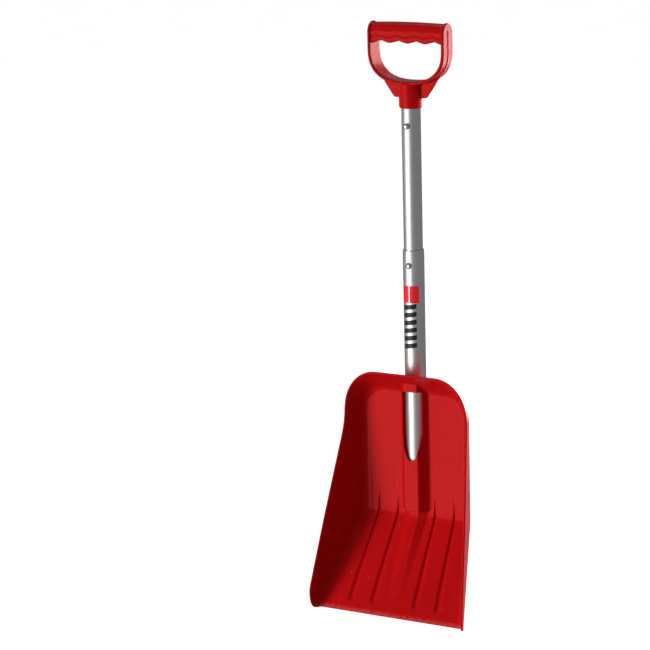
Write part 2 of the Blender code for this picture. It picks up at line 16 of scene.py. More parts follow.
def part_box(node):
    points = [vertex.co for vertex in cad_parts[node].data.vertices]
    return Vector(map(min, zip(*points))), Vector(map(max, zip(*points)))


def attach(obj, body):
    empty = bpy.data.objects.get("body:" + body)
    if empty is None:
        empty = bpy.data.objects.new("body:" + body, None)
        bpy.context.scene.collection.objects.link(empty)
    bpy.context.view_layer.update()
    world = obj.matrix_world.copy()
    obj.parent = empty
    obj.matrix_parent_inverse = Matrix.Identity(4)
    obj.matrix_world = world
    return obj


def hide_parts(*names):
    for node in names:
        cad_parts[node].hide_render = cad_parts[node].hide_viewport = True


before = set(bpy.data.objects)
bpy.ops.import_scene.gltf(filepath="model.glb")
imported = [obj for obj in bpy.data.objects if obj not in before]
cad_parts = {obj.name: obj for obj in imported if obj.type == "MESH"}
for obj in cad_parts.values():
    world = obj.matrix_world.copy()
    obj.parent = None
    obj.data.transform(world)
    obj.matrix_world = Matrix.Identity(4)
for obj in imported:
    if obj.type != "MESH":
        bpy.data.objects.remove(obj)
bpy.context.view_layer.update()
print("nodes:", sorted(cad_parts))

# %% [markdown]
# ## Measures
# All lengths are in metres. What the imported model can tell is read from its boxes: where the shaft's
# axis stands, how wide each tube is and where it ends. The mouldings' own measures are named values,
# because a box says nothing about a bend or a groove. "Forward" is the distance from the shaft's
# axis towards -Y, the side that the hollow of the blade faces.

# %% Read the shaft from the frame
MM = 0.001


def measure(node):
    """Lowest corner and size of a node's box."""
    low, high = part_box(node)
    return low, high - low


lower_low, lower_size = measure("lower_tube")
upper_low, upper_size = measure("upper_tube")
AXIS_Y = lower_low.y + 0.5 * lower_size.y
LOWER_R = 0.5 * lower_size.x
LOWER_END_Z = lower_low.z
LOWER_TOP_Z = lower_low.z + lower_size.z
UPPER_R = 0.5 * upper_size.x
UPPER_END_Z = upper_low.z
UPPER_TOP_Z = upper_low.z + upper_size.z
TUBE_WALL = 1.2 * MM
BUTTON_HOLE_R = 4.4 * MM


def middle_z(node):
    low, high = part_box(node)
    return 0.5 * (low.z + high.z)


LENGTH_BUTTON_Z = middle_z("length_button")
STOW_BUTTON_Z = middle_z("stow_button")
BLADE_BUTTON_Z = middle_z("blade_button")
RIVET_Z = middle_z("handle_rivet")
print(f"tubes {2000 * LOWER_R:.1f} and {2000 * UPPER_R:.1f} mm, axis at y = {1000 * AXIS_Y:.1f} mm")

# %% [markdown]
# ## Camera
# The camera comes first, so that every later choice can be looked at from the right side. It stands
# to the right of the shovel and a little above it, and a long lens keeps the shaft's sides parallel.
# Building its turn from three axes by hand lets it lean by one degree, which a tracking constraint
# would not.

# %% Place the camera
CAMERA_AZIMUTH = math.radians(28)
CAMERA_DISTANCE = 3.2
CAMERA_HEIGHT = 1.11
CAMERA_ROLL = math.radians(-1)
AIM_Z = 0.4
LENS = 136.8


def make_camera():
    """A long lens at the shaft, with a slight roll and a small shift for the framing."""
    data = bpy.data.cameras.new("camera")
    data.lens = LENS
    data.sensor_width = 36
    data.shift_x = -0.1377
    data.shift_y = -0.020
    data.clip_end = 100
    camera = bpy.data.objects.new("camera", data)
    bpy.context.scene.collection.objects.link(camera)
    aside = CAMERA_DISTANCE * math.sin(CAMERA_AZIMUTH)
    ahead = CAMERA_DISTANCE * math.cos(CAMERA_AZIMUTH)
    place = Vector((aside, AXIS_Y - ahead, CAMERA_HEIGHT))
    gaze = (Vector((0, AXIS_Y, AIM_Z)) - place).normalized()
    level = gaze.cross(Vector((0, 0, 1))).normalized()
    upright = level.cross(gaze)
    right = level * math.cos(CAMERA_ROLL) + upright * math.sin(CAMERA_ROLL)
    top = upright * math.cos(CAMERA_ROLL) - level * math.sin(CAMERA_ROLL)
    turn = Matrix((right, top, -gaze)).transposed()
    camera.matrix_world = Matrix.Translation(place) @ turn.to_4x4()
    bpy.context.scene.camera = camera
    return camera


camera = make_camera()
print("camera at", [round(x, 3) for x in camera.location])

# %% [markdown]
# ## Studio
# A plain studio: a pale floor, a white surround and large soft lamps. Aluminium shows little but
# what it mirrors, and glossy red plastic turns pink wherever something white is mirrored in it. So
# the floor is hidden from mirror rays, and the key lamp stands low at the left. The key and the fill
# only light the colour and are never mirrored. The fill stands behind the blade's plane, so that the
# walls inside stay dark. A large dim panel at the left is what the tubes mirror, too dim to show much
# in the plastic, and a wide lamp behind the shovel gives the mouldings' outer walls a pale sheen.
# The surround is white where it is looked at, and much dimmer as a light.


# %% Floor, surround and lamps
def make_floor():
    bm = bmesh.new()
    bmesh.ops.create_grid(bm, x_segments=1, y_segments=1, size=12)
    mesh = bpy.data.meshes.new("floor")
    bm.to_mesh(mesh)
    bm.free()
    floor = bpy.data.objects.new("floor", mesh)
    floor.location.z = -0.4 * MM
    bpy.context.scene.collection.objects.link(floor)
    floor.visible_glossy = False
    floor.visible_diffuse = False
    floor.visible_shadow = False
    return floor


def make_surround(seen, cast):
    """White to the eye, and dimmer as a source of light."""
    world = bpy.data.worlds.new("surround")
    world.use_nodes = True
    tree = world.node_tree
    background = tree.nodes["Background"]
    path = tree.nodes.new("ShaderNodeLightPath")
    bright = tree.nodes.new("ShaderNodeMapRange")
    bright.inputs["To Min"].default_value = cast
    bright.inputs["To Max"].default_value = seen
    tree.links.new(path.outputs["Is Camera Ray"], bright.inputs["Value"])
    background.inputs["Color"].default_value = (1, 1, 1, 1)
    tree.links.new(bright.outputs["Result"], background.inputs["Strength"])
    bpy.context.scene.world = world


def make_lamp(name, place, target, size, power, spread=180):
    """A soft rectangular lamp turned to its target."""
    data = bpy.data.lights.new(name, "AREA")
    data.shape = "RECTANGLE"
    data.size, data.size_y = size
    data.energy = power
    data.spread = math.radians(spread)
    lamp = bpy.data.objects.new(name, data)
    lamp.location = place
    lamp.rotation_euler = (Vector(target) - Vector(place)).to_track_quat("-Z", "Y").to_euler()
    bpy.context.scene.collection.objects.link(lamp)
    return lamp


floor = make_floor()
make_surround(seen=1.0, cast=0.20)
key_lamp = make_lamp("key_lamp", (-1.75, -2.2, 0.35), (0, 0, 0.3), (0.9, 1.3), 56)
make_lamp("tube_panel", (-1.5, -2.7, -0.35), (0, 0.08, 0.35), (2.4, 3.2), 62)
fill_lamp = make_lamp("fill_lamp", (2.3, 1.2, 0.7), (0, 0.05, 0.4), (1.5, 1.5), 55)
for lamp in (key_lamp, fill_lamp):
    lamp.visible_glossy = False
back_lamp = make_lamp("back_lamp", (0.5, 2.4, 0.6), (0, 0.05, 0.35), (3.0, 1.8), 75)
make_lamp("top_lamp", (-0.4, 0.3, 2.2), (0, 0.05, 0.7), (0.8, 0.8), 4)
bpy.context.scene.view_settings.view_transform = "Standard"

# %% [markdown]
# ## Shader sums
# A material in Blender is a graph of nodes, which is hard to read in code. One small class wraps a
# socket and gives it +, -, * and the rest, so that a line of Python reads as the sum that it makes,
# and each operation adds one Math node. A second class holds a material and adds any other node.


# %% The two helper classes
class Wire:
    """A shader socket that can be used in arithmetic on values."""

    def __init__(self, tree, socket):
        self.tree = tree
        self.socket = socket

    def _math(self, operation, *ends):
        made = self.tree.nodes.new("ShaderNodeMath")
        made.operation = operation
        for place, end in enumerate(ends):
            plug(self.tree, end, made.inputs[place])
        return Wire(self.tree, made.outputs[0])

    def __add__(self, other):
        return self._math("ADD", self, other)

    def __radd__(self, other):
        return self._math("ADD", other, self)

    def __sub__(self, other):
        return self._math("SUBTRACT", self, other)

    def __rsub__(self, other):
        return self._math("SUBTRACT", other, self)

    def __mul__(self, other):
        return self._math("MULTIPLY", self, other)

    def __rmul__(self, other):
        return self._math("MULTIPLY", other, self)

    def __pow__(self, other):
        return self._math("POWER", self, other)

    def step(self, low, high):
        """0 below low, 1 above high, and a smooth rise between."""
        made = self.tree.nodes.new("ShaderNodeMapRange")
        made.interpolation_type = "SMOOTHSTEP"
        plug(self.tree, self, made.inputs["Value"])
        made.inputs["From Min"].default_value = low
        made.inputs["From Max"].default_value = high
        return Wire(self.tree, made.outputs["Result"])


def plug(tree, value, socket):
    """Links a wire to a socket, or sets a plain value on it."""
    if isinstance(value, Wire):
        tree.links.new(value.socket, socket)
    else:
        socket.default_value = value


class Finish:
    """A Principled material, and the one method that adds nodes to it."""

    def __init__(self, name, **fixed):
        self.material = bpy.data.materials.new(name)
        self.material.use_nodes = True
        self.tree = self.material.node_tree
        self.shader = self.tree.nodes["Principled BSDF"]
        for socket, value in fixed.items():
            self.shader.inputs[socket.replace("_", " ")].default_value = value
        self.spot = self.node("ShaderNodeTexCoord", out="Object")

    def node(self, kind, settings=None, sockets=None, out=0):
        made = self.tree.nodes.new(kind)
        for name, value in (settings or {}).items():
            setattr(made, name, value)
        for name, value in (sockets or {}).items():
            plug(self.tree, value, made.inputs[name])
        return Wire(self.tree, made.outputs[out])

    def stretched(self, scale):
        """The place on the object with each axis scaled, for streaks."""
        sockets = {0: self.spot, 1: scale}
        return self.node("ShaderNodeVectorMath", {"operation": "MULTIPLY"}, sockets)

    def noise(self, scale, detail=3.0, place=None, roughness=0.5):
        sockets = {"Vector": place or self.spot, "Scale": scale}
        sockets.update({"Detail": detail, "Roughness": roughness})
        return self.node("ShaderNodeTexNoise", None, sockets, out="Fac")

    def height(self):
        """How high above the ground a point of the object is at rest."""
        return self.node("ShaderNodeSeparateXYZ", None, {0: self.spot}, out="Z")

    def mix(self, share, first, second):
        sockets = {0: share, 6: first, 7: second}
        return self.node("ShaderNodeMix", {"data_type": "RGBA"}, sockets, out=2)

    def bump(self, height, distance, strength=1.0):
        sockets = {"Height": height, "Distance": distance, "Strength": strength}
        return self.node("ShaderNodeBump", None, sockets, out="Normal")

    def paint(self, **links):
        for socket, wire in links.items():
            plug(self.tree, wire, self.shader.inputs[socket.replace("_", " ")])
        return self.material


print("shader helpers ready")

# %% [markdown]
# ## Red plastic
# The blade and the handle are injection-moulded in one clear, glossy red. Such a surface is never
# quite even: the melt leaves faint cloudy flow marks, the mould's polish gives a very fine orange
# peel, and use adds hair scratches down the blade and a rubbed, paler band at the cutting edge. What it
# mirrors straight on is tinted red, as in deeply dyed plastic, and turns white only at a grazing angle.


# %% Mix the red plastic
RED_GLOSS = (1, 0.06, 0.06, 1)


def red_plastic():
    finish = Finish(
        "red_plastic",
        Specular_IOR_Level=0.26,
        Specular_Tint=RED_GLOSS,
        Coat_Roughness=0.08,
    )
    cloud = finish.noise(7.0, 4.0)
    flow = finish.noise(16.0, 3.0, finish.stretched((1.0, 1.0, 0.25)))
    deep = (0.330, 0.0030, 0.0045, 1)
    bright = (0.500, 0.0040, 0.0050, 1)
    body = finish.mix(cloud * 0.55 + flow * 0.45, deep, bright)
    hairs = finish.noise(420.0, 2.0, finish.stretched((1.0, 0.4, 0.035)))
    scratched = hairs.step(0.66, 0.74) * (1 - finish.height().step(0.05, 0.30))
    rubbed = (1 - finish.height().step(0.0010, 0.0065)) * hairs.step(0.30, 0.62)
    worn = finish.mix(scratched * 0.16 + rubbed * 0.55, body, (0.62, 0.10, 0.09, 1))
    peel = finish.noise(1400.0, 2.0)
    relief = peel * 0.2 - scratched * 0.8
    roughness = 0.235 + cloud * 0.10 + scratched * 0.15 + rubbed * 0.25
    coat = 0.05 - scratched * 0.02 - rubbed * 0.03
    return finish.paint(
        Base_Color=worn,
        Roughness=roughness,
        Coat_Weight=coat,
        Normal=finish.bump(relief, 0.00004),
    )


RED = red_plastic()
print("red plastic:", len(RED.node_tree.nodes), "nodes")

# %% [markdown]
# ## Drawn aluminium
# The tubes are drawn through a die and then brushed lengthwise, so all their marks run along the
# shaft: fine streaks that change the gloss, and shallow lines in the surface. Stretching a noise
# along Z gives both. The slow wave in the gloss is the die's chatter.


# %% Mix the aluminium
def drawn_aluminium():
    finish = Finish("drawn_aluminium", Metallic=1.0)
    fine = finish.noise(900.0, 3.0, finish.stretched((1.0, 1.0, 0.012)))
    broad = finish.noise(180.0, 2.0, finish.stretched((1.0, 1.0, 0.02)))
    chatter = finish.noise(30.0, 2.0)
    tone = finish.mix(fine * 0.6 + broad * 0.4, (0.70, 0.705, 0.715, 1), (0.90, 0.90, 0.90, 1))
    roughness = 0.27 + fine * 0.14 + broad * 0.08 + chatter * 0.06
    relief = fine * 0.7 + broad * 0.5
    return finish.paint(
        Base_Color=tone,
        Roughness=roughness,
        Normal=finish.bump(relief, 0.00003),
    )


ALUMINIUM = drawn_aluminium()
print("aluminium:", len(ALUMINIUM.node_tree.nodes), "nodes")

# %% [markdown]
# ## Steel, spring strip, black plastic and the label's two inks
# The buttons are bright plated steel with faint rub marks round them. The springs are duller strip
# with a blue-brown temper. The plug in the tube's foot is plain black plastic. The label's film has
# two printed colours, both slightly mottled, as screen-printed vinyl is.


# %% Mix the small finishes
def plated_steel():
    finish = Finish("plated_steel", Metallic=1.0)
    rub = finish.noise(700.0, 4.0)
    tone = finish.mix(rub, (0.60, 0.60, 0.60, 1), (0.86, 0.86, 0.85, 1))
    relief = finish.bump(rub, 0.00002)
    return finish.paint(Base_Color=tone, Roughness=0.12 + rub * 0.16, Normal=relief)


def spring_strip():
    finish = Finish("spring_strip", Metallic=1.0)
    temper = finish.noise(160.0, 3.0)
    rolled = finish.noise(800.0, 2.0, finish.stretched((1.0, 1.0, 0.05)))
    tone = finish.mix(temper, (0.30, 0.29, 0.31, 1), (0.50, 0.46, 0.42, 1))
    relief = finish.bump(rolled, 0.00002)
    return finish.paint(Base_Color=tone, Roughness=0.26 + rolled * 0.16, Normal=relief)


def black_plastic():
    finish = Finish("black_plastic")
    grain = finish.noise(1200.0, 2.0)
    tone = finish.mix(grain, (0.012, 0.012, 0.013, 1), (0.030, 0.030, 0.032, 1))
    relief = finish.bump(grain, 0.00005)
    return finish.paint(Base_Color=tone, Roughness=0.40 + grain * 0.15, Normal=relief)


def printed_film(name, low, high):
    finish = Finish(name, Specular_IOR_Level=0.4)
    mottle = finish.noise(260.0, 3.0)
    dust = finish.noise(1500.0, 2.0)
    relief = finish.bump(dust, 0.00002)
    tone = finish.mix(mottle, low, high)
    return finish.paint(Base_Color=tone, Roughness=0.30 + mottle * 0.12, Normal=relief)


STEEL = plated_steel()
STRIP = spring_strip()
BLACK = black_plastic()
RED_INK = printed_film("red_ink", (0.66, 0.008, 0.014, 1), (0.80, 0.014, 0.020, 1))
BLACK_INK = printed_film("black_ink", (0.006, 0.006, 0.006, 1), (0.018, 0.018, 0.018, 1))
print("finishes:", len(bpy.data.materials))


# %% [markdown]
# ## Mesh helpers
# Three small tools do most of the modelling. A loft joins rings of points into a closed solid. A
# turned shape is a loft through circles. A cut is an exact Boolean whose result replaces the mesh,
# so that no hidden cutter is left in the scene. Edges sharper than a set angle stay crisp, and all
# others are shaded smooth.


# %% Loft, turn, cut
def loft(rings, wrap=False):
    """A closed solid through rings of equal counts; wrap joins the last ring to the first."""
    bm = bmesh.new()
    rows = [[bm.verts.new(p) for p in ring] for ring in rings]
    count = len(rows[0])
    pairs = list(zip(rows, rows[1:]))
    if wrap:
        pairs.append((rows[-1], rows[0]))
    for low, high in pairs:
        for i in range(count):
            j = (i + 1) % count
            bm.faces.new((low[i], low[j], high[j], high[i]))
    if not wrap:
        bm.faces.new(rows[0])
        bm.faces.new(rows[-1])
    return bm


def circle(radius, z, steps, x=0.0, y=0.0):
    turns = [2 * math.pi * i / steps for i in range(steps)]
    return [(x + radius * math.cos(t), y + radius * math.sin(t), z) for t in turns]


def turned(profile, steps=96, wrap=False):
    """A solid of revolution about the shaft's axis from (radius, height) pairs."""
    return loft([circle(r, z, steps, y=AXIS_Y) for r, z in profile], wrap)


def cross_turned(profile, z, side, steps=48):
    """A solid of revolution about a line along Y through the shaft's axis at height z."""
    rings = []
    turns = [2 * math.pi * i / steps for i in range(steps)]
    for radius, reach in profile:
        y = AXIS_Y + side * reach
        rings.append([(radius * math.cos(t), y, z + radius * math.sin(t)) for t in turns])
    return loft(rings)


def shade(bm, sharp_from):
    """Smooth shading, with edges sharper than the angle in degrees kept crisp."""
    for face in bm.faces:
        face.smooth = True
    for edge in bm.edges:
        edge.smooth = edge.calc_face_angle(0) < math.radians(sharp_from)


def add_piece(name, bm, material=None, sharp_from=35):
    bmesh.ops.recalc_face_normals(bm, faces=bm.faces)
    shade(bm, sharp_from)
    mesh = bpy.data.meshes.new(name)
    bm.to_mesh(mesh)
    bm.free()
    piece = bpy.data.objects.new(name, mesh)
    bpy.context.scene.collection.objects.link(piece)
    if material:
        mesh.materials.append(material)
    return piece


def settle(piece):
    """Turns the piece's modifiers into its mesh."""
    graph = bpy.context.evaluated_depsgraph_get()
    mesh = bpy.data.meshes.new_from_object(piece.evaluated_get(graph))
    piece.modifiers.clear()
    piece.data = mesh


def combine(piece, tools, operation, sharp_from=35):
    """Cuts the tool solids from the piece, or joins them to it, and removes the tools."""
    for tool in tools:
        step = piece.modifiers.new(tool.name, "BOOLEAN")
        step.operation = operation
        step.solver = "EXACT"
        step.object = tool
    settle(piece)
    for tool in tools:
        bpy.data.objects.remove(tool, do_unlink=True)
    bm = bmesh.new()
    bm.from_mesh(piece.data)
    shade(bm, sharp_from)
    bm.to_mesh(piece.data)
    bm.free()


def faults(piece):
    """How many edges don't join exactly two faces."""
    bm = bmesh.new()
    bm.from_mesh(piece.data)
    count = sum(not edge.is_manifold for edge in bm.edges)
    bm.free()
    return count


def install(piece, body, slot, *nodes):
    """Ties a finished piece to its body and hides the nodes it stands for. The slot is not used."""
    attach(piece, body)
    if nodes:
        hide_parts(*nodes)
    faces = len(piece.data.polygons)
    print(f"{piece.name}: {faces} faces, {faults(piece)} open edges, rides on {body}")


# %% [markdown]
# ## Blade: the tray's shape
# The blade is a tray pressed out of one sheet of plastic. Its upper floor is flat, its lower floor
# sweeps forward to the cutting edge, and walls flare out on three sides. Each of those is a short
# formula of the height, so the whole tray can be made as rows of points, one row for each height.
# A sculpted or subdivided box would need many more decisions to get the same clean panels.

# %% Formulas of the tray
BLADE_WALL = 3.0 * MM
EDGE_HALF = 107 * MM
EDGE_FORWARD = 85 * MM
BEND_Z = 121 * MM
BEND_SOFT = 9 * MM
FLOOR_HALF = 0.734 * EDGE_HALF
FLOOR_FORWARD = 3.5 * MM
FLOOR_TOP_Z = 294 * MM
CORNER_R = 34 * MM
RIM_TOP_FORWARD = FLOOR_FORWARD + 30.5 * MM
RIM_KNEE_Z = FLOOR_TOP_Z - 44 * MM
RIM_SLOPE = 0.30
SIDE_FLARE = 0.37
TOP_FLARE = 0.84
TIP_WALL = 5 * MM
TIP_ROUND_Z = 34 * MM
FILLET = 8 * MM


def soft_ramp(t, width):
    """Zero below nought and t above it, with the knee rounded over the width on each side."""
    t = np.asarray(t, float)
    knee = (t + width) ** 2 / (4 * width)
    return np.where(np.abs(t) < width, knee, np.maximum(t, 0.0))


def soft_most(a, b, width):
    """The larger of two values, with the crease between them filled to a fillet."""
    return b + soft_ramp(a - b, width)


def ease(t):
    t = np.clip(t, 0.0, 1.0)
    return t * t * (3 - 2 * t)


def blend(a, b, t):
    return a + (b - a) * t


def floor_forward(z):
    sweep = (EDGE_FORWARD - FLOOR_FORWARD) / BEND_Z
    return FLOOR_FORWARD + sweep * soft_ramp(BEND_Z - z, BEND_SOFT)


def floor_half(z):
    widen = (EDGE_HALF - FLOOR_HALF) / BEND_Z
    return FLOOR_HALF + widen * soft_ramp(BEND_Z - z, BEND_SOFT)


def wall_depth(z):
    """How far the rim stands forward of the floor, falling round at the tips."""
    rim = RIM_TOP_FORWARD + RIM_SLOPE * soft_ramp(RIM_KNEE_Z - z, 20 * MM)
    depth = rim - floor_forward(z)
    rise = np.sqrt(1 - (1 - np.minimum(z / TIP_ROUND_Z, 1.0)) ** 2)
    return TIP_WALL + (depth - TIP_WALL) * rise


def fillet_at(z):
    return np.minimum(FILLET, 0.45 * wall_depth(z))


for z in (0.0, 0.06, 0.121, 0.25):
    print(f"z {z:.3f}: floor {1000 * floor_forward(z):.1f} forward, wall {1000 * wall_depth(z):.1f}")

# %% [markdown]
# ## Blade: ridge, grooves and socket crown
# Three reliefs stiffen the floor. Two grooves on each side are pressed in, round at the foot and
# drawn to a point above the bend. A low ridge runs up the middle of the lower floor. Above the bend
# it steps up to the crown, the flat front of the socket that the shaft stands in. Each relief is
# added to the floor as a height, and the fillets come from a rounded maximum.

# %% Formulas of the reliefs
SOCKET_R = LOWER_R + 0.4 * MM
SOCKET_WALL = 2.7 * MM
SOCKET_TOP_Z = FLOOR_TOP_Z + 18 * MM
SOCKET_BACK_DROP = 16 * MM
CROWN_FORWARD = SOCKET_R + 2.6 * MM
CROWN_HALF = 0.69 * SOCKET_R
CROWN_FLANK = 0.64
CROWN_END_Z = BEND_Z + 8 * MM
GROOVE_FOOT = (0.300 * EDGE_HALF, 0.617 * EDGE_HALF)
GROOVE_BEND = (0.357 * FLOOR_HALF, 0.726 * FLOOR_HALF)
GROOVE_HALF = 4.6 * MM
GROOVE_DEPTH = 3.0 * MM
GROOVE_END_Z = 12 * MM
GROOVE_TIP_Z = BEND_Z + 34 * MM
RIDGE_FOOT = 10 * MM
RIDGE_BEND = SOCKET_R + 2.3 * MM
RIDGE_HEIGHT = 7 * MM
CRISP = 0.7 * MM


def groove_half(z):
    """Half a groove's width: a half round at its foot and a long point at its tip."""
    point = np.clip((GROOVE_TIP_Z - z) / (GROOVE_TIP_Z - 0.35 * BEND_Z), 0.0, 1.0)
    foot = np.clip((z - GROOVE_END_Z) / GROOVE_HALF, 0.0, 1.0)
    return GROOVE_HALF * (0.08 + 0.92 * point) * np.sqrt(0.02 + 0.98 * foot * (2 - foot))


def groove_depth(z):
    foot = ease((z - GROOVE_END_Z + 1 * MM) / (5 * MM))
    tip = ease((GROOVE_TIP_Z - z) / (GROOVE_TIP_Z - BEND_Z + 10 * MM))
    return GROOVE_DEPTH * foot * tip


def ridge_height(z):
    foot = ease((z - 5 * MM) / BEND_Z)
    fade = ease((CROWN_END_Z + 22 * MM - z) / (12 * MM))
    return RIDGE_HEIGHT * foot * fade


def plateau(distance, flat, foot):
    """1 within the flat half-width, 0 beyond the foot, with a straight flank and crisp bends."""
    flank = (foot - distance) / (foot - flat)
    soft = CRISP / (foot - flat)
    return soft_ramp(flank, soft) - soft_ramp(flank - 1, soft)


def relief(x, z):
    """How far the ridge and grooves push a point of the floor forward."""
    x = np.abs(x)
    along = np.minimum(z / BEND_Z, 1.0)
    ridge = blend(RIDGE_FOOT, RIDGE_BEND, along)
    push = ridge_height(z) * plateau(x, 0.38 * ridge, ridge)
    for foot, bend in zip(GROOVE_FOOT, GROOVE_BEND):
        middle = blend(foot, bend, along)
        half = groove_half(z)
        push = push - groove_depth(z) * plateau(np.abs(x - middle), 0.3 * half, half)
    return push


def crown(x, z):
    """The socket's front: a flat crown with sloping flanks, which ends in a step at the bend."""
    x = np.abs(x)
    flank = CROWN_FLANK * (CROWN_FORWARD - FLOOR_FORWARD) + 1 * MM
    drop = soft_ramp((x - CROWN_HALF) / flank, CRISP / flank) * (CROWN_FORWARD - FLOOR_FORWARD)
    end = 9 * MM * (1 - ease((z - CROWN_END_Z + 4 * MM) / (4 * MM)))
    return CROWN_FORWARD - drop - end


def front_of(x, z, forward):
    """The front surface: the plain tray with its reliefs, given how far the tray stands forward."""
    return soft_most(crown(x, z), forward + relief(x, z), 1.6 * MM)


print("crown stands", round(1000 * CROWN_FORWARD, 1), "mm forward of the axis")

# %% [markdown]
# ## Blade: rows, walls and rim
# Every row of the floor has the same number of points, and they follow the grooves down the blade,
# so that a groove's edge is always a line of the mesh and never a staircase. The walls start where
# the floor's border ends: a fillet, the flare, and at last a round bead along the rim, half a turn
# from the front face to the back one. The bead is what shows as a bright line all round the tray.


# %% Rows and columns of the floor
def row_heights():
    """(height, angle round the top corner) of each row, closer together where the shape turns."""
    levels = np.concatenate(
        [
            np.linspace(0, 1 * MM, 2),
            np.arange(2.2 * MM, 22 * MM, 1.1 * MM),
            np.arange(22 * MM, BEND_Z - 14 * MM, 2.2 * MM),
            np.arange(BEND_Z - 14 * MM, CROWN_END_Z + 3 * MM, 0.9 * MM),
            np.arange(CROWN_END_Z + 3 * MM, GROOVE_TIP_Z + 2 * MM, 1.6 * MM),
            np.arange(GROOVE_TIP_Z + 4 * MM, FLOOR_TOP_Z - CORNER_R - 1 * MM, 3.4 * MM),
        ]
    )
    rows = [(z, 0.0) for z in levels]
    for angle in np.linspace(0, math.pi / 2, 27):
        rows.append((FLOOR_TOP_Z - CORNER_R * (1 - math.sin(angle)), angle))
    return rows


def half_columns(z, border):
    """Points across half a row, from the middle to the border, that follow the reliefs."""
    along = min(z / BEND_Z, 1.0)
    ridge = blend(RIDGE_FOOT, RIDGE_BEND, along)
    flat = blend(0.38 * ridge, CROWN_HALF, float(ease((z - BEND_Z) / (20 * MM))))
    stops = [(0.0, 0), (flat - CRISP, 4), (flat + CRISP, 3), (ridge - CRISP, 5)]
    inner = ridge + 1.4 * CRISP
    stops += [(inner, 3)]
    full = float(floor_half(z)) - float(fillet_at(z))
    squeeze = (border - inner) / (full - inner)
    for foot, bend, gap in zip(GROOVE_FOOT, GROOVE_BEND, (5, 11)):
        middle = inner + (blend(foot, bend, along) - inner) * squeeze
        half = max(float(groove_half(z)), 2.0 * MM) * squeeze
        stops += [(middle - half - 0.5 * MM * squeeze, gap), (middle - 0.3 * half, 5)]
        stops += [(middle + 0.3 * half, 3), (middle + half + 0.5 * MM * squeeze, 5)]
    stops.append((border, 8))
    columns = [0.0]
    for (low, _), (high, count) in zip(stops, stops[1:]):
        columns += [blend(low, high, (i + 1) / count) for i in range(count)]
    return np.array(columns)


def floor_grid(rows):
    """The plain floor's points, row by row, each row from -X to +X."""
    grid = []
    for z, angle in rows:
        fillet = float(fillet_at(z))
        border = float(floor_half(z)) - CORNER_R * (1 - math.cos(angle)) - fillet * math.cos(angle)
        level = z - fillet * math.sin(angle)
        half = half_columns(z, border)
        x = np.concatenate([-half[:0:-1], half])
        y = np.full_like(x, AXIS_Y - float(floor_forward(level)))
        grid.append(np.stack([x, y, np.full_like(x, level)], 1))
    return np.array(grid)


rows = row_heights()
grid = floor_grid(rows)
print(len(rows), "rows of", grid.shape[1], "points")


# %% Walls
def wall_strip(x, z, outward, flare):
    """Points up the wall from the floor's border: a fillet, then the flare, short of the bead."""
    depth = float(wall_depth(z))
    fillet = float(fillet_at(z))
    up = min(fillet, 0.5 * depth)
    rises, shifts = [], []
    for t in np.linspace(0, 1, 7)[1:]:
        rises.append(up * t * t)
        shifts.append(flare * up * t * t - fillet * (1 - t) ** 2)
    for rise in np.linspace(up, depth - 0.5 * BLADE_WALL, 9)[1:]:
        rises.append(rise)
        shifts.append(flare * rise)
    rises, shifts = np.array(rises), np.array(shifts)
    y = AXIS_Y - float(floor_forward(z)) - rises
    return np.stack([x + outward[0] * shifts, y, z + outward[1] * shifts], 1)


def wall_strips(rows, grid):
    """The strips in order: up the left side, along the top, and down the right side."""
    right = []
    for z, angle in rows:
        half = float(floor_half(z)) - CORNER_R * (1 - math.cos(angle))
        flare = blend(SIDE_FLARE, TOP_FLARE, float(ease(angle / (math.pi / 2))))
        outward = (math.cos(angle), math.sin(angle))
        right.append(wall_strip(half, z, outward, flare))
    left = [strip * np.array([-1, 1, 1]) for strip in right]
    top = []
    for x in grid[-1][1:-1, 0]:
        top.append(wall_strip(x, FLOOR_TOP_Z, (0.0, 1.0), TOP_FLARE))
    return np.array(left + top + right[::-1])


def sheet_faces(row_count, column_count, strip_count, strip_long):
    """Faces of the sheet, and its outer loop of rim points from the left tip to the right one."""
    base = row_count * column_count
    faces = []
    for r in range(row_count - 1):
        for c in range(column_count - 1):
            a = r * column_count + c
            faces.append((a, a + 1, a + column_count + 1, a + column_count))
    border = [r * column_count for r in range(row_count)]
    border += [(row_count - 1) * column_count + c for c in range(1, column_count - 1)]
    border += [r * column_count + column_count - 1 for r in range(row_count - 1, -1, -1)]
    ladder = []
    for s in range(strip_count):
        ladder.append([border[s]] + [base + s * strip_long + i for i in range(strip_long)])
    for one, two in zip(ladder, ladder[1:]):
        for i in range(strip_long):
            faces.append((one[i], two[i], two[i + 1], one[i + 1]))
    return faces, ladder


strips = wall_strips(rows, grid)
print("wall:", strips.shape[0], "strips of", strips.shape[1], "points")


# %% Thickness and bead
def normals_of(points, faces):
    """A sheet's vertex normals, turned to the front."""
    mesh = bpy.data.meshes.new("sheet")
    mesh.from_pydata([tuple(p) for p in points], [], faces)
    mesh.update()
    found = np.array([tuple(v.normal) for v in mesh.vertices])
    bpy.data.meshes.remove(mesh)
    return found if found[:, 1].sum() < 0 else -found


def bead(front, back, ahead):
    """Points of a half round from the front face to the back one."""
    middle = 0.5 * (front + back)
    arm = front - middle
    reach = ahead * (0.5 * BLADE_WALL)
    turns = [math.pi * i / 6 for i in range(1, 6)]
    return [middle + arm * math.cos(t) + reach * math.sin(t) for t in turns]


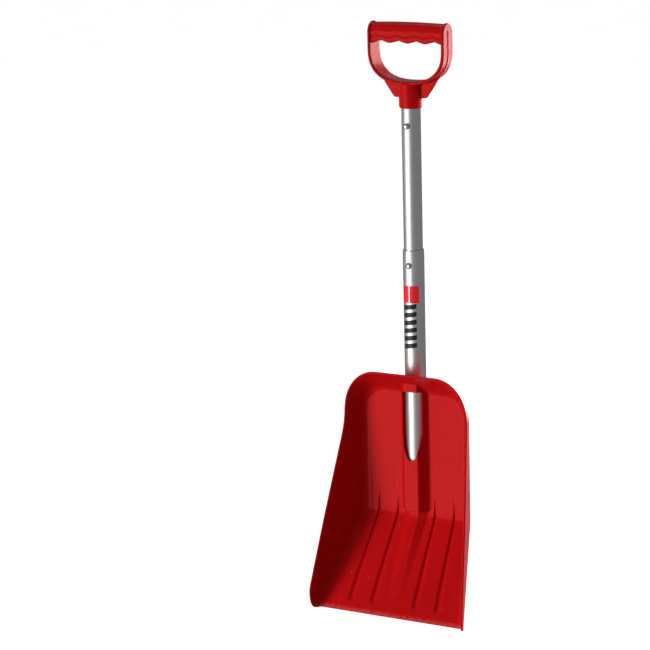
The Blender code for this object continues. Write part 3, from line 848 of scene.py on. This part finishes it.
def tray_solid():
    """The tray as one closed solid: front sheet, back sheet, bead, and a flat land at the foot."""
    faces, ladder = sheet_faces(grid.shape[0], grid.shape[1], strips.shape[0], strips.shape[1])
    plain = np.concatenate([grid.reshape(-1, 3), strips.reshape(-1, 3)])
    front = plain.copy()
    front[:, 1] = AXIS_Y - front_of(plain[:, 0], plain[:, 2], AXIS_Y - plain[:, 1])
    back = plain - normals_of(plain, faces) * BLADE_WALL
    back[:, 1] -= relief(back[:, 0], back[:, 2])
    back[:, 2] = np.maximum(back[:, 2], 0.0)
    foot = list(ladder[0][::-1]) + list(range(1, grid.shape[1] - 1)) + list(ladder[-1])
    back[foot, 2] = 0.0
    bm = bmesh.new()
    fore = [bm.verts.new(p) for p in front]
    rear = [bm.verts.new(p) for p in back]
    for face in faces:
        bm.faces.new([fore[i] for i in face])
        bm.faces.new([rear[i] for i in reversed(face)])
    arcs = []
    for rung in ladder:
        ahead = front[rung[-1]] - front[rung[-2]]
        ahead = ahead / np.linalg.norm(ahead)
        ring = bead(front[rung[-1]], back[rung[-1]], ahead)
        arcs.append([fore[rung[-1]]] + [bm.verts.new(p) for p in ring] + [rear[rung[-1]]])
    for one, two in zip(arcs, arcs[1:]):
        for i in range(len(one) - 1):
            bm.faces.new((one[i], two[i], two[i + 1], one[i + 1]))
    for a, b in zip(foot, foot[1:]):
        bm.faces.new((fore[a], fore[b], rear[b], rear[a]))
    bm.faces.new(arcs[0])
    bm.faces.new(arcs[-1])
    return bm


blade = add_piece("blade_moulding", tray_solid(), RED, sharp_from=50)
print("tray:", len(blade.data.polygons), "faces,", faults(blade), "open edges")

# %% [markdown]
# ## Blade: socket and its openings
# Behind the floor the socket bulges out as a half round, with a tapered foot and a sloping collar at
# its top. It is lofted level by level and joined to the tray. Then the bore, the long window in
# front of the tube, the button's hole and the drain are cut, in the order that a mould's cores would
# leave them.

# %% Shape the socket
WINDOW_FOOT_Z = LOWER_END_Z + 37.5 * MM
WINDOW_HALF = SOCKET_R + 0.6 * MM
WINDOW_CURVE = 0.42 * (FLOOR_TOP_Z - WINDOW_FOOT_Z)
INSET = 0.5 * MM


def socket_ring(z, back, inset=0.0):
    """One level of the socket, just inside the crown in front and half round behind."""
    outer = SOCKET_R + SOCKET_WALL - inset
    ahead = CROWN_FORWARD - INSET - inset
    if z < CROWN_END_Z + 4 * MM:
        ahead = FLOOR_FORWARD - 1.2 * MM
    flat = CROWN_HALF - INSET
    hip = flat + CROWN_FLANK * max(ahead - FLOOR_FORWARD, 0.0)
    hip = max(hip, outer * 0.96)
    side = FLOOR_FORWARD - 1.5 * MM
    points = [(-flat, AXIS_Y - ahead, z), (flat, AXIS_Y - ahead, z), (hip, AXIS_Y - side, z)]
    for i in range(41):
        turn = math.pi * i / 40
        depth = blend(-(FLOOR_FORWARD - 3 * MM), outer * math.sin(turn), back)
        points.append((outer * math.cos(turn), AXIS_Y + depth, z))
    points.append((-hip, AXIS_Y - side, z))
    return points


def slope(ring):
    """Lowers a level towards the back, for the collar's sloping top."""
    front_y = AXIS_Y - CROWN_FORWARD
    span = CROWN_FORWARD + SOCKET_R + SOCKET_WALL
    return [(x, y, z - SOCKET_BACK_DROP * (y - front_y) / span) for x, y, z in ring]


def socket_solid():
    low, high = BEND_Z + 2 * MM, LOWER_END_Z - 1 * MM
    rings = []
    for z in np.linspace(low, high, 22):
        swell = float(ease((z - low + 4 * MM) / (high - low + 4 * MM)))
        rings.append(socket_ring(z, swell))
    rings.append(slope(socket_ring(SOCKET_TOP_Z - 1 * MM, 1.0)))
    rings.append(slope(socket_ring(SOCKET_TOP_Z, 1.0, 0.7 * MM)))
    return add_piece("socket", loft(rings), sharp_from=40)


def window_solid():
    """Flat at the top with small corners, and a long curve at the foot."""
    outline = []
    for across in np.linspace(-1, 1, 49):
        outline.append((WINDOW_HALF * across, WINDOW_FOOT_Z + WINDOW_CURVE * abs(across) ** 2.6))
    corner = 2.5 * MM
    quarter = np.linspace(0, 0.5 * math.pi, 7)
    for side, turns in ((1, quarter), (-1, quarter[::-1])):
        for t in turns:
            x = side * (WINDOW_HALF - corner + corner * math.cos(t))
            outline.append((x, FLOOR_TOP_Z - corner + corner * math.sin(t)))
    levels = (AXIS_Y - 3 * SOCKET_R, AXIS_Y - 0.4 * SOCKET_R)
    return add_piece("window", loft([[(x, y, z) for x, z in outline] for y in levels]))


def blade_cores():
    """The solids that the mould's cores leave empty."""
    bore = [(SOCKET_R, LOWER_END_Z - 0.3 * MM), (SOCKET_R, SOCKET_TOP_Z + 60 * MM)]
    drain_y = AXIS_Y + 0.55 * SOCKET_R
    drain = [circle(3 * MM, z, 32, y=drain_y) for z in (BEND_Z, LOWER_END_Z + 1 * MM)]
    hole = [(BUTTON_HOLE_R, 0.0), (BUTTON_HOLE_R, 2 * SOCKET_R)]
    return [
        add_piece("bore", turned(bore)),
        window_solid(),
        add_piece("button_hole", cross_turned(hole, BLADE_BUTTON_Z, 1)),
        add_piece("drain", loft(drain)),
    ]


combine(blade, [socket_solid()], "UNION")
combine(blade, blade_cores(), "DIFFERENCE", sharp_from=30)
install(blade, "blade", "red_plastic", "blade")

# %% [markdown]
# ## Shaft tubes
# Two drawn tubes, the narrow one sliding in the wide one. Their ends are deburred, which leaves a
# small round on the edge, and the wide one is also closed in very slightly at its mouth, so that the
# narrow one doesn't rattle. Turning a closed wall section about the axis gives both, and the button
# holes are drilled afterwards.


# %% Turn and drill the tubes
def wall_section(radius, low, high, mouth=0.0):
    """The tube's wall as a closed (radius, height) outline; mouth closes the top end in."""
    inner = radius - TUBE_WALL
    edge = 0.45 * MM
    points = [(inner, low), (radius - edge, low), (radius - 0.13 * MM, low + 0.13 * MM)]
    points += [(radius, low + edge), (radius, high - 9 * MM)]
    points += [(radius - 0.25 * mouth, high - 5 * MM), (radius - 0.8 * mouth, high - 2 * MM)]
    points += [(radius - mouth, high - edge), (radius - mouth - 0.3 * edge, high - 0.3 * edge)]
    points += [(radius - mouth - edge, high), (inner, high)]
    return points


def drilled_tube(name, section, holes):
    made = add_piece(name, turned(section, wrap=True), ALUMINIUM)
    drills = []
    for number, (radius, z, side) in enumerate(holes):
        reach = [(radius, 0.0), (radius, 2 * LOWER_R)]
        drills.append(add_piece(f"drill_{number}", cross_turned(reach, z, side)))
    combine(made, drills, "DIFFERENCE")
    return made


lower_holes = [(BUTTON_HOLE_R, BLADE_BUTTON_Z, 1), (BUTTON_HOLE_R, LENGTH_BUTTON_Z, -1)]
lower_section = wall_section(LOWER_R, LOWER_END_Z, LOWER_TOP_Z, mouth=0.25 * MM)
lower_shaft = drilled_tube("wide_tube", lower_section, lower_holes)
install(lower_shaft, "lower_shaft", "tube_alloy", "lower_tube")
upper_holes = [(BUTTON_HOLE_R, z, -1) for z in (LENGTH_BUTTON_Z, STOW_BUTTON_Z)]
upper_holes.append((2.7 * MM, RIVET_Z, 1))
upper_section = wall_section(UPPER_R, UPPER_END_Z, UPPER_TOP_Z)
upper_shaft = drilled_tube("narrow_tube", upper_section, upper_holes)
install(upper_shaft, "upper_shaft", "tube_alloy", "upper_tube")

# %% [markdown]
# ## Snap buttons
# Each button is a plated pin with a domed head, on a flange that a leaf spring pushes against the
# inside of the tube. The dome is a true arc here, because the highlight that it throws is what tells
# the eye that there is a button at all. Its reach comes from the box of the part it stands for.


# %% Turn the buttons
BUTTON_R = 4.0 * MM
DOME = 2.2 * MM
FLANGE_THICK = 1 * MM
FLANGE_ROUND = 0.2 * MM
DOME_STEPS = 9


def button_profile(node, side):
    """(radius, reach) pairs from the flange's back to the top of the dome."""
    low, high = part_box(node)
    top = (high.y - AXIS_Y) if side > 0 else (AXIS_Y - low.y)
    base = (low.y - AXIS_Y) if side > 0 else (AXIS_Y - high.y)
    flange = 0.5 * (high.z - low.z)
    face = base + FLANGE_THICK
    points = [(flange, base), (flange, face - FLANGE_ROUND), (flange - FLANGE_ROUND, face)]
    points += [(BUTTON_R, face), (BUTTON_R, top - DOME)]
    for i in range(1, DOME_STEPS):
        turn = 0.5 * math.pi * i / DOME_STEPS
        points.append((BUTTON_R * math.cos(turn), top - DOME + DOME * math.sin(turn)))
    points.append((0.02 * BUTTON_R, top))
    return points


for node, side in (("length_button", -1), ("stow_button", -1), ("blade_button", 1)):
    profile = button_profile(node, side)
    pin = add_piece(node + "_pin", cross_turned(profile, middle_z(node), side), STEEL)
    install(pin, node, "button_steel", node)

# %% [markdown]
# ## Handle
# The D-handle is one moulding: a bent strap, a grip bar with a crowned top and a scalloped lip under
# the fingers, two flat fins and a round ferrule. A moulder rounds every inner corner where these
# meet. Making the parts as separate solids, melting them together with a voxel remesh and smoothing
# the result gives those fillets without naming one of them.

# %% Strap and grip
HANDLE_LOW, HANDLE_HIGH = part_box("d_handle")
HANDLE_HALF = HANDLE_HIGH.x
HANDLE_TOP_Z = HANDLE_HIGH.z
FERRULE_END_Z = HANDLE_LOW.z
HANDLE_DEPTH = 29 * MM
STRAP_THICK = 4.2 * MM
STRAP_LOW_Z = FERRULE_END_Z + 31.5 * MM
STRAP_KNEE_Z = STRAP_LOW_Z + 46 * MM
GRIP_LOW_Z = STRAP_KNEE_Z + 8.5 * MM
GRIP_TOP_Z = GRIP_LOW_Z + 25.9 * MM
GRIP_DEPTH = 25 * MM
SCALLOP = 1.6 * MM
FERRULE_R = UPPER_R + 2.8 * MM
FIN_THICK = 5 * MM
FIN_END_Z = FERRULE_END_Z + 13.5 * MM


STRAP_SQUARENESS = 0.8  # 1 makes the strap's lower half an ellipse, and less makes it squarer


def strap_path(offset):
    """Down the left leg, round under the hand and up the right leg, set in from the outside."""
    half = HANDLE_HALF - offset
    drop = STRAP_KNEE_Z - STRAP_LOW_Z - offset
    points = [(-half, z) for z in np.linspace(HANDLE_TOP_Z, STRAP_KNEE_Z, 12)[:-1]]
    for turn in np.linspace(0, math.pi, 73):
        down = abs(math.sin(turn)) ** STRAP_SQUARENESS
        across = -math.copysign(abs(math.cos(turn)) ** STRAP_SQUARENESS, math.cos(turn))
        points.append((half * across, STRAP_KNEE_Z - drop * down))
    points += [(half, z) for z in np.linspace(STRAP_KNEE_Z, HANDLE_TOP_Z, 12)[1:]]
    return points


def leg_half_depth(x, z):
    """Half the strap's width front to back: full below, and round at the top of each leg."""
    radius = 0.5 * HANDLE_DEPTH
    above = max(z - (HANDLE_TOP_Z - radius), 0.0)
    return math.sqrt(max(radius**2 - above**2, (0.12 * radius) ** 2))


def strap_solid():
    """The strap, with its long edges eased."""
    share = ((0, 0.90), (0.28, 1), (0.72, 1), (1, 0.92), (1, -0.92), (0.72, -1), (0.28, -1), (0, -0.90))
    paths = {inset: strap_path(inset * STRAP_THICK) for inset, _ in share}
    rings = []
    for i in range(len(paths[0])):
        ring = []
        for inset, wide in share:
            x, z = paths[inset][i]
            ring.append((x, AXIS_Y + wide * leg_half_depth(x, z), z))
        rings.append(ring)
    return loft(rings)


GRIP_OUTLINE = (
    (0.0, 1.0),
    (0.34, 0.985),
    (0.66, 0.90),
    (0.88, 0.74),
    (0.985, 0.56),
    (1.0, 0.45),
    (0.965, 0.385),
    (0.90, 0.345),
    (0.905, 0.30),
    (0.96, 0.265),
    (0.97, 0.13),
    (0.90, 0.03),
    (0.62, 0.0),
    (0.0, 0.0),
)


def grip_solid():
    """The bar: crowned along its length, with a finger lip that waves under it."""
    rings = []
    reach = HANDLE_HALF - 0.5 * STRAP_THICK
    for x in np.linspace(-reach, reach, 97):
        along = x / (HANDLE_HALF - STRAP_THICK)
        top = GRIP_TOP_Z - 1.2 * MM * along**2
        low = GRIP_LOW_Z - SCALLOP * math.cos(4 * math.pi * along)
        half = [(0.5 * GRIP_DEPTH * wide, blend(low, top, up)) for wide, up in GRIP_OUTLINE]
        outline = half + [(-y, z) for y, z in half[-2:0:-1]]
        rings.append([(x, AXIS_Y + y, z) for y, z in outline])
    return loft(rings)


print(f"handle {2000 * HANDLE_HALF:.1f} mm wide, top at {1000 * HANDLE_TOP_Z:.1f} mm")


# %% Fins, ferrule and the melt
def fin_solid():
    """Flat fins in the middle plane, from the strap down both sides of the ferrule."""
    knee = blend(STRAP_LOW_Z, FIN_END_Z, 0.42)
    right = [(FERRULE_R - 3 * MM, FIN_END_Z), (FERRULE_R + 5.5 * MM, FIN_END_Z)]
    right += [(FERRULE_R + 8 * MM, FIN_END_Z + 0.6 * MM), (FERRULE_R + 9.5 * MM, FIN_END_Z + 2.4 * MM)]
    right += [(2 * FERRULE_R - 2 * MM, knee - 2.5 * MM), (2 * FERRULE_R, knee)]
    right += [(0.74 * HANDLE_HALF, STRAP_LOW_Z + 8 * MM), (0.93 * HANDLE_HALF, STRAP_LOW_Z + 21 * MM)]
    inside = [(0.80 * HANDLE_HALF, STRAP_LOW_Z + 16 * MM), (0.35 * HANDLE_HALF, STRAP_LOW_Z + 3 * MM)]
    outline = right + inside
    outline += [(-x, z) for x, z in reversed(outline)]
    half = 0.5 * FIN_THICK
    return loft([[(x, AXIS_Y + y, z) for x, z in outline] for y in (-half, half)])


def rib_solid(side):
    """A low rib up the outer face of a leg, which carries the fin's line to the top."""
    rings = []
    for x, z in strap_path(0.0):
        if x * side > 0.55 * HANDLE_HALF and z < HANDLE_TOP_Z - 9 * MM:
            away = Vector((x, z - STRAP_KNEE_Z)).normalized() if z < STRAP_KNEE_Z else Vector((side, 0))
            out = Vector((x, z)) + away * 0.9 * MM
            base = Vector((x, z)) - away * 2 * MM
            ring = [(base.x, -2.6 * MM, base.y), (out.x, -1.0 * MM, out.y)]
            ring += [(out.x, 1.0 * MM, out.y), (base.x, 2.6 * MM, base.y)]
            rings.append([(px, AXIS_Y + py, pz) for px, py, pz in ring])
    return loft(rings)


def ferrule_solid():
    profile = [(FERRULE_R - 2.4 * MM, FERRULE_END_Z), (FERRULE_R - 0.8 * MM, FERRULE_END_Z + 0.7 * MM)]
    profile += [(FERRULE_R, FERRULE_END_Z + 2.4 * MM), (FERRULE_R + 0.4 * MM, STRAP_LOW_Z + 1.5 * MM)]
    return turned(profile)


def melt(name, solids, voxel, rounds):
    """Joins overlapping solids into one skin with soft inner corners."""
    mesh = bpy.data.meshes.new(name)
    whole = bmesh.new()
    for solid in solids:
        bmesh.ops.recalc_face_normals(solid, faces=solid.faces)
        part = bpy.data.meshes.new("part")
        solid.to_mesh(part)
        solid.free()
        whole.from_mesh(part)
        bpy.data.meshes.remove(part)
    whole.to_mesh(mesh)
    whole.free()
    piece = bpy.data.objects.new(name, mesh)
    bpy.context.scene.collection.objects.link(piece)
    remesh = piece.modifiers.new("melt", "REMESH")
    remesh.mode = "VOXEL"
    remesh.voxel_size = voxel
    smooth = piece.modifiers.new("soften", "SMOOTH")
    smooth.factor = 0.5
    smooth.iterations = rounds
    settle(piece)
    return piece


handle_parts = [strap_solid(), grip_solid(), fin_solid(), ferrule_solid(), rib_solid(1), rib_solid(-1)]
handle = melt("handle_moulding", handle_parts, 0.62 * MM, 7)
handle.data.materials.append(RED)
seat = [(UPPER_R + 0.3 * MM, FERRULE_END_Z - 5 * MM), (UPPER_R + 0.3 * MM, UPPER_TOP_Z + 0.3 * MM)]
rivet_hole = [(2.7 * MM, 0.0), (2.7 * MM, 2 * FERRULE_R)]
handle_cores = [
    add_piece("seat", turned(seat)),
    add_piece("rivet_hole", cross_turned(rivet_hole, RIVET_Z, 1)),
]
combine(handle, handle_cores, "DIFFERENCE")
install(handle, "upper_shaft", "red_plastic", "d_handle")

# %% [markdown]
# ## Label
# The wide tube carries a printed label on its front: a red field split by a thin gap, and below it
# a column of plain slanted bars. Each mark is a thin patch of film bent round the tube, a real
# shape that stands a tenth of a millimetre proud and catches its own edge of light.

# %% Bend the label round the tube
FILM = 0.10 * MM
FILM_LIFT = 0.02 * MM
LABEL_HALF = math.radians(54)
FIELD_LOW_Z = LENGTH_BUTTON_Z - 50 * MM
FIELD_HIGH_Z = LENGTH_BUTTON_Z - 27 * MM
BARS_LOW_Z = LENGTH_BUTTON_Z - 113 * MM
BAR_COUNT = 6


def film_patch(name, left, right, low, high, slant, material):
    """A patch between two angles round the tube's front; slant raises its right side."""
    rings = []
    for z_share in np.linspace(0, 1, 7):
        ring = []
        for angle in np.linspace(left, right, 19):
            lift = slant * (angle - left) / (right - left)
            ring.append((angle, blend(low, high, z_share) + lift))
        rings.append(ring)
    bm = bmesh.new()
    layers = []
    for radius in (LOWER_R + FILM_LIFT, LOWER_R + FILM_LIFT + FILM):
        layer = []
        for ring in rings:
            row = []
            for angle, z in ring:
                x = radius * math.sin(angle)
                y = AXIS_Y - radius * math.cos(angle)
                row.append(bm.verts.new((x, y, z)))
            layer.append(row)
        layers.append(layer)
    for layer in layers:
        for one, two in zip(layer, layer[1:]):
            for i in range(len(one) - 1):
                bm.faces.new((one[i], one[i + 1], two[i + 1], two[i]))
    inner, outer = layers
    for rim_in, rim_out in zip(patch_border(inner), patch_border(outer)):
        bm.faces.new((rim_in[0], rim_in[1], rim_out[1], rim_out[0]))
    patch = add_piece(name, bm, material)
    install(patch, "lower_shaft", "tube_alloy")
    return patch


def patch_border(layer):
    """The pairs of neighbouring points round a patch's edge."""
    loop = layer[0] + [row[-1] for row in layer[1:]] + layer[-1][-2::-1]
    loop += [row[0] for row in layer[-2:0:-1]]
    return list(zip(loop, loop[1:] + loop[:1]))


GAP = math.radians(2.2)
film_patch("label_field_left", -LABEL_HALF, -GAP, FIELD_LOW_Z, FIELD_HIGH_Z, 0.0, RED_INK)
film_patch("label_field_right", GAP, LABEL_HALF, FIELD_LOW_Z, FIELD_HIGH_Z, 0.0, RED_INK)
BAR_HALF = 0.72 * LABEL_HALF
BAR_SLANT = 3 * MM
bar_pitch = (FIELD_LOW_Z - BARS_LOW_Z) / BAR_COUNT
for number in range(BAR_COUNT):
    bar_low = BARS_LOW_Z + bar_pitch * number
    bar_name = f"label_bar_{number + 1}"
    bar_high = bar_low + 0.6 * bar_pitch
    film_patch(bar_name, -BAR_HALF, BAR_HALF, bar_low, bar_high, BAR_SLANT, BLACK_INK)

# %% [markdown]
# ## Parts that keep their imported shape
# The leaf springs, the tube's plug and the rivet are right as they are. They only take a finish: a
# material is put in the first slot of each one's mesh.

# %% Finish the carried-over parts
CARRIED = {
    "handle_rivet": STEEL,
    "tube_plug": BLACK,
    "length_spring": STRIP,
    "stow_spring": STRIP,
    "blade_spring": STRIP,
}
for node, material in CARRIED.items():
    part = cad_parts[node]
    if part.data.materials:
        part.data.materials[0] = material
    else:
        part.data.materials.append(material)
    print(node, "->", material.name)


# %% [markdown]
# ## Floor finish
# The floor is a pale matt sheet, nearly as bright as the surround, with a very faint mottle, so that
# the shovel's shadow at its edge is the only thing that shows on it.


# %% Finish the floor
def floor_paper():
    finish = Finish("floor_paper", Roughness=0.9, Emission_Strength=0.88)
    mottle = finish.noise(6.0, 2.0)
    tone = finish.mix(mottle, (0.90, 0.90, 0.90, 1), (0.94, 0.94, 0.94, 1))
    return finish.paint(Base_Color=tone, Emission_Color=tone)


floor.data.materials.append(floor_paper())
print("floor finished")

# %% [markdown]
# ## The back lamp's reach
# A round tube turns away from the eye at its sides, where it mirrors whatever is behind it. The back
# lamp would bleach its right side into the white surround, so that lamp lights only the mouldings.

# %% Keep the back lamp off the tubes
mouldings = bpy.data.collections.new("mouldings")
for piece in (blade, handle):
    mouldings.objects.link(piece)
back_lamp.light_linking.receiver_collection = mouldings
